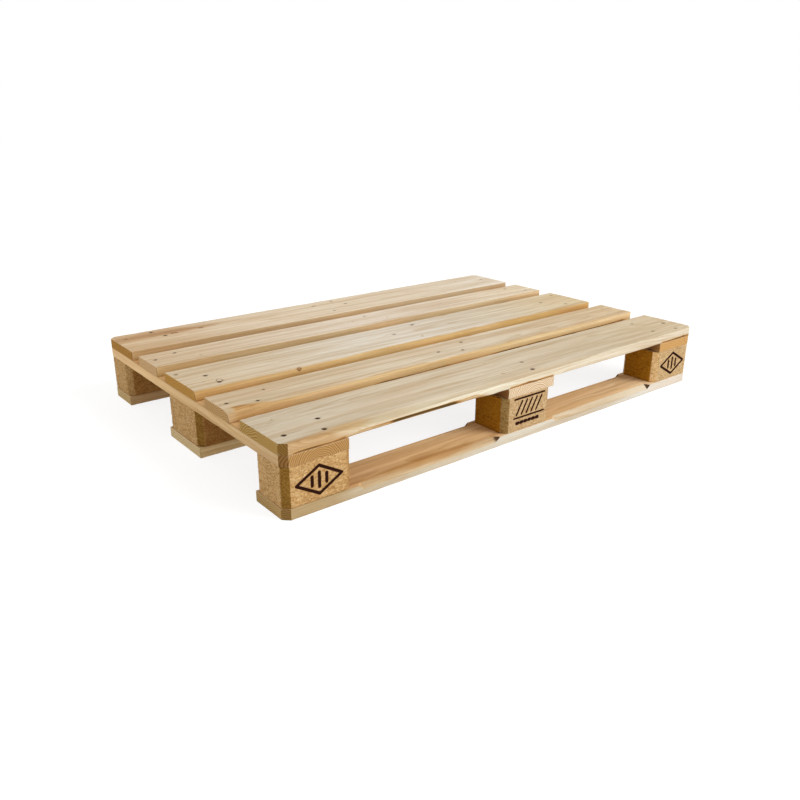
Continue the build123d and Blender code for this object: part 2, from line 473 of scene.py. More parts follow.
def pressed_chips(name, seed, tint, tone_shift):
    """Wood chips pressed with glue: flat flakes of many tones, with dark gaps and fine crumbs."""
    tree = Tree(bpy.data.materials.new(name))
    place = tree.place() + 61.0 * seed
    bend = tree.noise(place * (1 / 11), 3.0, output="Color") * 6.0

    def layer(wide, high):
        """Chips of one size: two tones of each, and the distance to its edge."""
        cells = (place + bend) * (1 / wide, 1 / wide, 1 / high)
        tone, speck, _ = tree.parts(tree.cells(cells, output="Color"))
        return tone, speck, tree.cells(cells, "DISTANCE_TO_EDGE")

    flake, _, flake_gap = layer(6.0, 3.0)
    crumb, speck, crumb_gap = layer(2.3, 1.5)
    fibre = tree.noise(place * (1 / 1.4, 1 / 1.4, 1 / 0.5), 4.0, 0.65)
    cloud = tree.noise(place * (1 / 38), 2.0)
    tone = flake * 0.28 + crumb * 0.30 + fibre * 0.24 + cloud * 0.20 + tone_shift
    colour = tree.tinted(tree.ramp(tone, CHIP_TONES), tint)
    gaps = flake_gap.rise(0.0, 0.09).inverse() * 0.36 + crumb_gap.rise(0.0, 0.14).inverse() * 0.22
    colour = tree.tinted(colour, GAP_SHADE, gaps)
    colour = tree.blend(speck.rise(0.91, 0.95, 0.5), colour, CHIP_SPECK)
    # Painted shade on the blocks' inner sides, which lie under the deck.
    colour = tree.tinted(colour, UNDER_DECK_PAINTED_SHADE, tree.painted("soaked"))
    # The cut-off upright edges: darker at the pallet's corners, painted shade on some inner ones, and
    # painted light where the share is negative.
    colour = tree.tinted(colour, CUT_SHADE, tree.painted("cut"))
    colour = tree.tinted(colour, CUT_PAINTED_LIGHT, tree.painted("cut") * -1.0)
    burn = tree.painted("burn") + (fibre - 0.5) * 0.3
    colour = tree.blend(burn.rise(0.15, 0.5, 0.7), colour, SCORCH)
    colour = tree.blend(burn.rise(0.45, 0.68), colour, CHAR)
    height = flake * 0.35 + crumb * 0.25 + fibre * 0.30 - gaps * 0.5
    return tree.finish(tree.principled(colour, fibre * 0.2 + 0.68, height, specular=0.06))


def nail_steel(name):
    """Dull drawn steel, brown with rust where the head is dark and dusty zinc where it is clean."""
    tree = Tree(bpy.data.materials.new(name))
    place = tree.place()
    rust = tree.noise(place * (1 / 3.5), 4.0, 0.65)
    scuff = tree.noise(place * (1 / 0.6, 1 / 0.6, 1 / 6), 3.0)
    dark = tree.blend(rust.rise(0.42, 0.62), shade(60, 44, 32), shade(72, 42, 22))
    dark = tree.blend(scuff.rise(0.45, 0.7, 0.6), dark, shade(36, 22, 14))
    clean = tree.blend(rust.rise(0.4, 0.65), shade(192, 172, 142), shade(170, 142, 106))
    colour = tree.blend(tree.painted("clean"), dark, clean)
    x, y, _ = tree.parts(place)
    hatch = tree.math("SINE", x * 6.0) * tree.math("SINE", y * 6.0)
    height = hatch * 0.06 + rust * 0.05
    return tree.finish(tree.principled(colour, rust * 0.3 + 0.5, height, metallic=0.1, specular=0.15))


# ---- meshes

SHARP_ANGLE = 30
CAP_INSET = 0.03  # what is painted at a rim fades out over this share of the end face


def new_piece(name, mesh, material, node):
    """Links a mesh as the piece that stands for a CAD node."""
    mesh.materials.append(material)
    mesh.shade_smooth()
    mesh.set_sharp_from_angle(angle=math.radians(SHARP_ANGLE))
    piece = bpy.data.objects.new(name, mesh)
    bpy.context.scene.collection.objects.link(piece)
    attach(piece, "root")
    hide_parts(node)


def measured(box):
    """A box's low corner, size and middle, in millimetres."""
    lo, hi = (np.array(corner_point) / MM for corner_point in box)
    return lo, hi - lo, (lo + hi) / 2


def painted_mesh(name, points, faces, painted):
    """A mesh of points in millimetres, with the numbers that its material reads at each of them."""
    mesh = bpy.data.meshes.new(name)
    mesh.from_pydata((points * MM).tolist(), [], faces)
    for attribute, values in painted.items():
        layer = mesh.attributes.new(attribute, "FLOAT", "POINT")
        layer.data.foreach_set("value", np.ravel(values).astype(np.float32))
    mesh.validate()
    return mesh


def loft(name, rings, painted):
    """A closed mesh through rings of points, with both ends capped."""
    caps = [ring + (ring.mean(0) - ring) * CAP_INSET for ring in (rings[0], rings[-1])]
    rings = np.concatenate([caps[:1], rings, caps[1:]])
    painted = {attribute: np.pad(values, ((1, 1), (0, 0))) for attribute, values in painted.items()}
    count, around, _ = rings.shape
    index = np.arange(count * around).reshape(count, around)
    here, there = index[:-1], index[1:]
    quads = np.stack([here, np.roll(here, -1, 1), np.roll(there, -1, 1), there], -1).reshape(-1, 4)
    faces = quads.tolist() + [index[0][::-1].tolist(), index[-1].tolist()]
    return painted_mesh(name, rings.reshape(-1, 3), faces, painted)


def spaced(low, high, step, extra=(), closest=0.7):
    """Sorted values from low to high, about step apart, with extra ones put in."""
    plain = np.linspace(low, high, max(2, round((high - low) / step) + 1))
    wanted = sorted(value for value in extra if low < value < high)
    kept = [low]
    for value in wanted:
        if value - kept[-1] > closest and high - value > closest:
            kept.append(value)
    kept.append(high)
    kept = np.array(kept)
    room = [value for value in plain if np.min(np.abs(kept - value)) > 0.45 * step]
    return np.sort(np.concatenate([kept, room]))


def waves(values, size, seed):
    """Smooth noise between -1 and 1 along a line, with features about as long as size."""
    return np.array([noise.noise(Vector((value / size, 17.3 * seed, 4.7))) for value in values])


def window(values, start, end, fade_in, fade_out, soft=True):
    """1 between start and end, falling to 0 outside over the two fades."""
    rise = np.clip((values - start) / fade_in + 1, 0, 1)
    fall = np.clip((end - values) / fade_out + 1, 0, 1)
    share = rise * fall
    return share * share * (3 - 2 * share) if soft else share


@dataclass
class Edge:
    """What has been taken off a long edge: a stretch of it, how wide on the broad face, how deep."""

    start: float
    end: float
    run: float
    drop: float
    fade_in: float
    fade_out: float
    # bark also carries painted shade: dark joint lines, and dark feet of sides in the gaps.
    bark: float = 0.0
    bulge: float = 1.0  # 1 is round like a log, 0 is flat like a bevel


@dataclass
class Crack:
    """A drying crack along the grain, by its place, ends, width and depth."""

    across: float
    start: float
    end: float
    width: float
    depth: float


EASED = 1.2  # radius of a sawn edge after handling
EDGE_DENTS = 7  # knocks along each long edge, with the least and most of their size and length
DENT_SIZE = (0.6, 2.2)
DENT_LENGTH = (3, 14)
CORNER_CUT = 13.0  # how far along and across the pallet's corners are sawn off
CORNER_POINTS = 6
SIDE_POINTS = 3
NAIL_RINGS = (0.0, 0.45, 0.66, 0.86, 1.1)  # mesh lines round a nail, in radii of its head
NAIL_DENT = 1.3  # how far the fibres over a nail's head are driven in
CUP = 0.35  # how far a board has cupped
CRACK_LINES = (-2.4, -0.9, -0.45, 0.0, 0.45, 0.9, 2.4)  # mesh lines along a crack
CRACK_FADE = 14.0  # a crack runs out over this length
CRACK_STEP = 6.0
END_LINES = (0.8, 2.5, 5.0, CORNER_CUT)  # mesh lines across a board near its ends
TOP_STEP = 6.0  # mesh spacing across the top, and elsewhere
BOARD_STEP = 9.0
TIP = 0.8  # the last stretch of a board, where its end is eased
FRAYED = 3.0  # and the stretch where its fibres are frayed
BARK_AND_SHADE_SPREAD = np.linspace(-0.3, 1.6, CORNER_POINTS).clip(0, 1)  # bark and painted shade over the points of an edge
SIDE_LEVELS = np.linspace(0, 1, SIDE_POINTS + 2)[None, 1:-1]
# Nails, by place in the pallet: those whose heads have gone black, and those still clean that hardly show.
DARK_HEADS = ((-574, -364), (-504, -382), (-486, -335), (-580, -168), (-526, -190), (24, -382), (568, -335),
              (-536, -49), (46, 47), (-53, -168), (1, -190), (40, -142), (-541, 3),
              (-580, 168), (-526, 190), (-504, 382), (-486, 335))
CLEAN_HEADS = ((-556, -289), (-46, -364), (-28, -289), (474, -168), (528, -190), (568, -142), (-556, 289),
               (-488, 142), (-53, 168), (40, 142), (482, 364), (552, 382), (500, 289), (474, 168), (3, -45))
HEAD_REACH = 4  # how near to one of these places a nail has to be


def edge_shape(along, edges, seed):
    """Width, depth, roundness, and bark with painted shade, of a long edge at each place along it."""
    fresh = np.clip((along[-1] - np.abs(along)) / CORNER_CUT - 0.3, 0.25, 1)  # sharper by the sawn ends
    wobble = EASED * fresh * (1.0 + 0.55 * waves(along, 28, seed) + 0.25 * waves(along, 7, seed + 3))
    run, drop = wobble.copy(), wobble.copy()
    bulge, bark = np.ones_like(along), np.zeros_like(along)
    rng = np.random.default_rng(seed)
    for _ in range(EDGE_DENTS):
        middle = rng.uniform(along[0], along[-1])
        dent = rng.uniform(*DENT_SIZE) * np.exp(-(((along - middle) / rng.uniform(*DENT_LENGTH)) ** 2))
        run += dent
        drop += dent * rng.uniform(0.5, 1.1)
    for edge in edges:
        sawn = edge.bulge == 0
        share = window(along, edge.start, edge.end, edge.fade_in, edge.fade_out, soft=not sawn)
        rough = 1.0 if sawn else 1.0 + 0.22 * waves(along, 45, seed + 9)
        run = np.maximum(run, run + (edge.run - run) * share * rough)
        drop = np.maximum(drop, drop + (edge.drop - drop) * share * rough)
        bulge = bulge + (edge.bulge - bulge) * share
        bark = np.maximum(bark, edge.bark * share ** 0.7)
    return run, drop, bulge, bark


def corner(run, drop, bulge):
    """Points round an edge from the broad face to the side, as distances in from each of them."""
    turn = np.linspace(0, 1, CORNER_POINTS)[None, :]
    angle = turn * math.pi / 2
    chord, arc = (1 - turn, turn), (1 - np.sin(angle), 1 - np.cos(angle))
    return [reach[:, None] * (straight + (rounded - straight) * bulge[:, None])
            for reach, straight, rounded in zip((run, drop), chord, arc)]


def nail_lines(places, axis):
    """Values along one axis that put mesh lines round each nail head."""
    rings = [side * ring for ring in NAIL_RINGS for side in (-1, 1)]
    return [place[axis] + ring * place[2] for place in places for ring in rings]


def cleanness(x, y):
    """How clean a nail's head is, from 0, black, to 1."""
    def listed(places):
        return any(math.dist((x, y), place) < HEAD_REACH for place in places)
    if listed(DARK_HEADS):
        return 0.0
    return 1.0 if listed(CLEAN_HEADS) else 0.5


def dents(along, across, places, middle):
    """Depth and stain of the hole over each nail: fibres close over the rim of its head."""
    depth, stain = np.zeros_like(along), np.zeros_like(along)
    for place_along, place_across, head in places:
        far = np.hypot(along - place_along, across - place_across)
        depth = np.maximum(depth, NAIL_DENT * np.clip((head - far) / (0.34 * head), 0, 1))
        strength = 0.9 * (1 - cleanness(place_along + middle[0], place_across + middle[1]))
        smear = np.hypot((along - place_along) / 1.15, across - place_across)
        stain = np.maximum(stain, strength * np.clip((1.1 * head - smear) / (0.36 * head), 0, 1))
    return depth, stain


def cracks_at(along, across, cracks):
    """Depth of the drying cracks at each point."""
    depth = np.zeros_like(along)
    for crack in cracks:
        share = window(along, crack.start, crack.end, CRACK_FADE, CRACK_FADE)
        gap = np.abs(across - crack.across - 0.8 * np.sin(along / 31))
        depth = np.maximum(depth, crack.depth * share * np.clip(1.25 - gap / crack.width, 0, 1))
    return depth


@dataclass
class Sawn:
    """One board's own shape: what its four long edges have lost, its cracks and its nails."""

    near_top: tuple = ()
    far_top: tuple = ()
    near_bottom: tuple = ()
    far_bottom: tuple = ()
    cracks: tuple = ()
    cuts: tuple = ()  # ends and sides whose corner is sawn off: (-1 or 1, -1 or 1)
    top_nails: tuple = ()
    bottom_nails: tuple = ()


def squeeze(reach, lost, half_width):
    """Distances in from a side, moved so that the first lies at what the edge has lost."""
    lost = lost[:, None]
    band = np.maximum(0.23 * half_width, 1.6 * lost)
    return np.where(reach < band, lost + reach * (1 - lost / band), reach)


def face_run(half_width, step, lines, near_lost, far_lost, level):
    """Points over a broad face, squeezed between what its two edges have lost: across, up, bark and painted
    shade.
    """
    places = spaced(-half_width, half_width, step, lines)[None, 1:-1]
    from_near = squeeze(places + half_width, near_lost, half_width)
    across = half_width - squeeze(2 * half_width - from_near, far_lost, half_width)
    return across, np.full_like(across, level), np.zeros_like(across)


def side_run(wall, low, high, levels):
    """Points up a side between its lower and its upper edge: across, up, bark and painted shade."""
    rise = low[1][:, -1:] + (high[1][:, -1:] - low[1][:, -1:]) * levels
    bark = np.maximum(low[2][:, -1:] * np.clip(1 - 5 * levels, 0, 1),
                      high[2][:, -1:] * np.clip(5 * levels - 4, 0, 1))
    return wall * np.ones_like(rise), rise, bark


def turned(run):
    """The points of an edge taken from the side to the face, with bark and painted shade growing that way as
    well.
    """
    return run[0][:, ::-1], run[1][:, ::-1], run[2]


def board_mesh(name, box, crosswise, sawn, seed):
    """A sawn board as a dense skin: eased and waney edges, nail dents, cracks and a slight cup."""
    lo, size, middle = measured(box)
    width, length = (size[0], size[1]) if crosswise else (size[1], size[0])
    thick = size[2]
    half_length, half_width = length / 2, width / 2
    edges = (sawn.near_bottom, sawn.near_top, sawn.far_top, sawn.far_bottom)
    stops = nail_lines(sawn.top_nails + sawn.bottom_nails, 0)
    for edge in sum(edges, ()):
        stops += [edge.start - edge.fade_in, edge.start, edge.end, edge.end + edge.fade_out]
    for step in END_LINES:
        stops += [step - half_length, half_length - step]
    for crack in sawn.cracks:
        stops += list(np.arange(crack.start - CRACK_FADE, crack.end + CRACK_FADE, CRACK_STEP))
    along = spaced(-half_length, half_length, BOARD_STEP, stops)

    # How far the sides stand in, with the pallet's corners sawn off, and then the four long edges.
    tip = np.clip(1 - (half_length - np.abs(along)) / TIP, 0, 1) * 0.9
    inset = {}
    for side in (-1, 1):
        inset[side] = 0.35 + 0.25 * waves(along, 260, seed + side) + tip
        for end, cut_side in sawn.cuts:
            if cut_side == side:
                inset[side] = inset[side] + np.clip(CORNER_CUT - (half_length - end * along), 0, None)
    wall = {side: side * (half_width - inset[side][:, None]) for side in (-1, 1)}
    shapes = [edge_shape(along, stretches, seed * 4 + number) for number, stretches in enumerate(edges)]
    corners = []
    for (run, drop, bulge, bark), side, on_top in zip(shapes, (-1, -1, 1, 1), (False, True, True, False)):
        inward, down = corner(run, drop, bulge)
        corners.append((wall[side] - side * inward, thick - down if on_top else down,
                        bark[:, None] * BARK_AND_SHADE_SPREAD))

    # The section, from the near lower edge up, over and down again.
    near_low, near_high, far_high, far_low = corners
    lost = [inset[side] + shape[0] for side, shape in zip((-1, -1, 1, 1), shapes)]
    crack_lines = [crack.across + step for crack in sawn.cracks for step in CRACK_LINES]
    top_lines = nail_lines(sawn.top_nails, 1) + crack_lines
    top = face_run(half_width, TOP_STEP, top_lines, lost[1], lost[2], thick)
    under = face_run(half_width, BOARD_STEP, nail_lines(sawn.bottom_nails, 1), lost[0], lost[3], 0.0)
    near_side = side_run(wall[-1], near_low, near_high, SIDE_LEVELS)
    far_side = side_run(wall[1], far_low, far_high, SIDE_LEVELS[:, ::-1])
    runs = ((-1, near_low), (0, near_side), (1, turned(near_high)), (1, top), (1, far_high), (0, far_side),
            (-1, turned(far_low)), (-1, [part[:, ::-1] for part in under]))
    across, up, bark = (np.concatenate([run[part] for _, run in runs], 1) for part in range(3))
    face = np.concatenate([np.full(run[0].shape, side) for side, run in runs], 1)
    along_all = np.repeat(along[:, None], across.shape[1], 1)

    top_depth, top_stain = dents(along_all, across, sawn.top_nails, middle)
    low_depth, low_stain = dents(along_all, across, sawn.bottom_nails, middle)
    crack = cracks_at(along_all, across, sawn.cracks)
    bow = (across / half_width) ** 2
    cup = CUP * (bow if seed % 2 else 1 - bow) + 0.12 + 0.1 * waves(along, 180, seed + 30)[:, None]
    up = up - (face > 0) * (top_depth + crack + cup) + (face < 0) * (low_depth + 0.15)
    up = np.clip(up, 0.02, thick - 0.02) + (tip[:, None] * np.sign(thick / 2 - up))
    stain = np.maximum(top_stain * (face > 0), low_stain * (face < 0))
    stain = np.maximum(stain, np.clip(crack / 1.5, 0, 0.9))
    fray = np.clip(1 - (half_length - np.abs(along_all)) / FRAYED, 0, 1) * 0.5 * (face != 0)
    plan = (middle[0] - across, along_all) if crosswise else (along_all, middle[1] + across)
    return loft(name, np.stack([*plan, lo[2] + up], -1), {"bark": bark, "stain": stain, "fray": fray})


# ---- blocks and their burned marks

MARK_STEP = 1.0  # mesh spacing on a marked face, and on the others
PLAIN_STEP = 2.8
RIM_LINES = (0.7, 2.0)  # mesh lines in from the top and the foot
CRUMBLED = 2.4  # how far the crumbled rims reach
LOOSENED = 6.0  # and how far from top and foot the flakes stand out more
BURN_DEPTH = 0.7
OUTER_X = 590  # block faces beyond these distances from the middle are on the pallet's outside
OUTER_Y = 390
# The blocks' inner upright edges, by column and for one block by itself: 1 is dark, a painted shade, and -1
# is pale, a painted light.
CUT_INSIDE_SHADING = {"left": 0.35, "middle": 0.8, "right": -1.0, "block_left_centre": 1.0}


def stroke_distance(x, z, strokes):
    """Distance from each point to the nearest stroke, less half the stroke's thickness."""
    nearest = np.full_like(x, 99.0)
    for x0, z0, x1, z1, thickness in strokes:
        dx, dz = x1 - x0, z1 - z0
        share = np.clip(((x - x0) * dx + (z - z0) * dz) / max(dx * dx + dz * dz, 1e-9), 0, 1)
        gap = np.hypot(x - x0 - share * dx, z - z0 - share * dz) - thickness / 2
        nearest = np.minimum(nearest, gap)
    return nearest


def diamond_mark():
    """A plain diamond with three upright bars in it."""
    wide, high, line = 47.0, 27.0, 4.2
    points = [(-wide, 0), (0, high), (wide, 0), (0, -high)]
    strokes = [(*points[i], *points[(i + 1) % 4], line) for i in range(4)]
    strokes += [(x, -reach, x, reach, 5.0) for x, reach in ((-15.0, 8.5), (0.0, 13.5), (15.0, 8.5))]
    return strokes


def hatch_mark():
    """Two rails with slanted strokes between them, over a row of short dashes."""
    strokes = [(-43, 33, 48, 33, 2.4), (-43, -10, 48, -10, 2.4)]
    strokes += [(x - 8, -3, x + 8, 26, 3.0) for x in range(-28, 42, 15)]
    strokes += [(x, -22, x + 5, -22, 6.0) for x in range(-34, 28, 12)]
    return strokes


def outline(half_x, half_y, steps):
    """The plan of a block, anticlockwise from its near left chamfer, with a step for each face."""
    short_x, short_y = half_x - CORNER_CUT, half_y - CORNER_CUT
    knots = [(-half_x, -short_y), (-short_x, -half_y), (short_x, -half_y), (half_x, -short_y),
             (half_x, short_y), (short_x, half_y), (-short_x, half_y), (-half_x, short_y)]
    points, edge_gap = [], []
    for number, start in enumerate(knots):
        end = knots[(number + 1) % len(knots)]
        span = math.dist(start, end)
        count = max(3, round(span / steps[number % len(steps)]))
        for share in np.arange(count) / count:
            points.append([a + (b - a) * share for a, b in zip(start, end)])
            edge_gap.append(min(share, 1 - share) * span)
    return np.array(points), np.array(edge_gap)


def chip_relief(points, seed):
    """How deep each surface point lies: every flake has its own level, with crevices between."""
    relief = np.empty(len(points))
    for number, (x, y, z) in enumerate(points):
        where = Vector((x / 7 + 19 * seed, y / 7, z / 3.4))
        gaps, cells = noise.voronoi(where)
        level = noise.cell(cells[0] * 3.1)
        crevice = max(0.0, 1 - (gaps[1] - gaps[0]) * 5)
        relief[number] = 0.28 * abs(level) + 0.30 * crevice + 0.12 * noise.noise(where * 2.3)
    return relief


def block_mesh(name, box, seed, cut_inside_shading, near_mark=None, far_mark=None):
    """A pressed-chip block with cut-off upright edges, crumbled rims and burned marks."""
    lo, size, middle = measured(box)
    steps = [PLAIN_STEP] * 8
    steps[1] = MARK_STEP if near_mark else PLAIN_STEP
    steps[5] = MARK_STEP if far_mark else PLAIN_STEP
    plan, edge_gap = outline(size[0] / 2, size[1] / 2, steps)
    rim_lines = [level for inset in RIM_LINES for level in (inset, size[2] - inset)]
    levels = spaced(0, size[2], min(steps), rim_lines, 0.3)
    x, y = (np.tile(plan[:, axis], (len(levels), 1)) for axis in (0, 1))
    z = np.repeat(levels[:, None], len(plan), 1)

    before, after = np.roll(plan, 1, 0), np.roll(plan, -1, 0)
    run = after - before
    outward = np.stack([run[:, 1], -run[:, 0]], 1) / np.linalg.norm(run, axis=1)[:, None]
    relief = chip_relief(np.stack([x, y, z], -1).reshape(-1, 3), seed).reshape(x.shape)
    rim = np.minimum(z, size[2] - z)
    crumble = 1.4 * np.clip(1 - rim / CRUMBLED, 0, 1) ** 2
    crumble = crumble + 0.9 * np.clip(1 - edge_gap[None, :] / CRUMBLED, 0, 1) ** 2
    depth = 0.2 + relief * (1 + 1.6 * np.clip(1 - rim / LOOSENED, 0, 1)) + crumble * (0.45 + relief)

    # Cut-off edges: 1 at the pallet's corners; inside, the share that paints shade or light on them.
    slanted = (np.abs(outward[:, 0] * outward[:, 1]) > 0.4)[None, :]
    off_x, off_y = np.abs(x + middle[0]), np.abs(y + middle[1])
    corner_of_pallet = (off_x > OUTER_X - 5) & (off_y > OUTER_Y - 5)
    cut = slanted * np.where(corner_of_pallet, 1.0, cut_inside_shading)
    burn = np.zeros_like(x)
    for mark, sign in ((near_mark, -1), (far_mark, 1)):
        if mark:
            on_face = np.abs(y - sign * size[1] / 2) < 0.01
            gap = stroke_distance(-sign * x, z - size[2] / 2, mark)
            gap = gap + 0.35 * (relief - 0.3)
            burn = np.maximum(burn, on_face * np.clip(0.85 - gap / 2.4, 0, 1))
            depth = depth + on_face * BURN_DEPTH * np.clip(0.5 - gap / 1.1, 0, 1)
    # Inner sides, and less so inner fronts and backs, get painted shade for lying under the deck.
    inner_side = (np.abs(outward[:, 0]) > 0.9)[None, :] & (off_x < OUTER_X)
    inner_front = (np.abs(outward[:, 1]) > 0.9)[None, :] & (off_y < OUTER_Y)
    soaked = inner_side + 0.6 * inner_front
    x, y = (place - outward[None, :, axis] * depth + middle[axis] for axis, place in enumerate((x, y)))
    rings = np.stack([x, y, lo[2] + np.clip(z, 0.1, size[2] - 0.1)], -1)
    return loft(name, rings, {"burn": burn, "cut": cut, "soaked": soaked})


# ---- nails

NAIL_SEGMENTS = 20
HEAD_GAP = 12  # points on one head are nearer together than this
NAIL_SUNK = (0.3, 0.7)  # the least and most that a nail is sunk
NAIL_LEAN = 0.012  # the most that a nail leans, as a slope
NAIL_SPARE = 0.4  # how much shorter a nail is than its CAD node is high


def nail_places(node):
    """Where a node's nails stand: the centre of each head, and whether it was driven from above."""
    points = np.array([v.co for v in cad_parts[node].data.vertices]) / MM
    from_above = node.startswith("deck")
    head_level = points[:, 2].max() if from_above else points[:, 2].min()
    heads = points[np.abs(points[:, 2] - head_level) < 0.05]
    groups = []
    for point in heads:
        near = [group for group in groups if np.hypot(*(group[0][:2] - point[:2])) < HEAD_GAP]
        if near:
            near[0].append(point)
        else:
            groups.append([point])
    centres = [(np.min(group, 0) + np.max(group, 0)) / 2 for group in groups]
    radius = max(np.ptp(np.array(group)[:, 0]) for group in groups) / 2
    return sorted(tuple(centre[:2]) for centre in centres), head_level, radius, from_above


def nail_profile(head, length):
    """Radius and depth down a nail: domed head, coned neck, ringed shank, point."""
    shank = head * 0.49
    profile = [(0.0, 0.0), (head * 0.35, 0.02), (head * 0.7, 0.08), (head * 0.93, 0.22), (head, 0.55),
               (head * 0.99, 1.2), (head * 0.8, 1.45), (shank * 1.05, 2.6)]
    grip_start, grip_end, pitch = 0.25 * length, length - 3 * shank, 2.4
    profile.append((shank, grip_start))
    for turn in range(int((grip_end - grip_start) / pitch)):
        start = grip_start + turn * pitch
        profile += [(shank * 1.06, start + 0.25 * pitch), (shank * 0.9, start + 0.9 * pitch)]
    profile += [(shank, grip_end), (shank * 0.55, length - 1.2 * shank), (0.0, length)]
    return np.array(profile)


def nails_mesh(name, node, seed):
    """All the nails of a node, each a little turned, tilted and sunk."""
    places, head_level, head, from_above = nail_places(node)
    lo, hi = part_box(node)
    length = (hi.z - lo.z) / MM
    profile = nail_profile(head, length - NAIL_SPARE)
    angles = np.arange(NAIL_SEGMENTS) * 2 * math.pi / NAIL_SEGMENTS
    rng = np.random.default_rng(seed)
    vertices, faces, clean = [], [], []
    for x, y in places:
        sunk, turn = rng.uniform(*NAIL_SUNK), rng.uniform(0, math.pi)
        lean = rng.uniform(-NAIL_LEAN, NAIL_LEAN, 2)
        first = len(vertices)
        for radius, depth in profile[1:-1]:
            for angle in angles + turn:
                side = radius * (1 - 0.015 * math.sin(3 * angle))
                tip = depth / length
                vertices.append((x + side * math.cos(angle) + lean[0] * depth * tip,
                                 y + side * math.sin(angle) + lean[1] * depth * tip, depth + sunk))
        rows = len(profile) - 2
        vertices += [(x, y, sunk), (x + lean[0] * length, y + lean[1] * length, length - NAIL_SPARE + sunk)]
        crown, point = len(vertices) - 2, len(vertices) - 1
        clean += [cleanness(x, y)] * (len(vertices) - first)
        for k in range(NAIL_SEGMENTS):
            after = (k + 1) % NAIL_SEGMENTS
            faces.append((crown, first + after, first + k))
            last = first + (rows - 1) * NAIL_SEGMENTS
            faces.append((point, last + k, last + after))
            for row in range(rows - 1):
                a, b = first + row * NAIL_SEGMENTS, first + (row + 1) * NAIL_SEGMENTS
                faces.append((a + k, a + after, b + after, b + k))
    placed = np.array(vertices)
    placed[:, 2] = head_level + placed[:, 2] * (-1 if from_above else 1)
    if not from_above:
        faces = [face[::-1] for face in faces]
    return painted_mesh(name, placed, faces, {"clean": clean})


# ---- the pallet

make_camera()
make_studio()
make_floor()

RED_STREAK = (178, 138, 96)
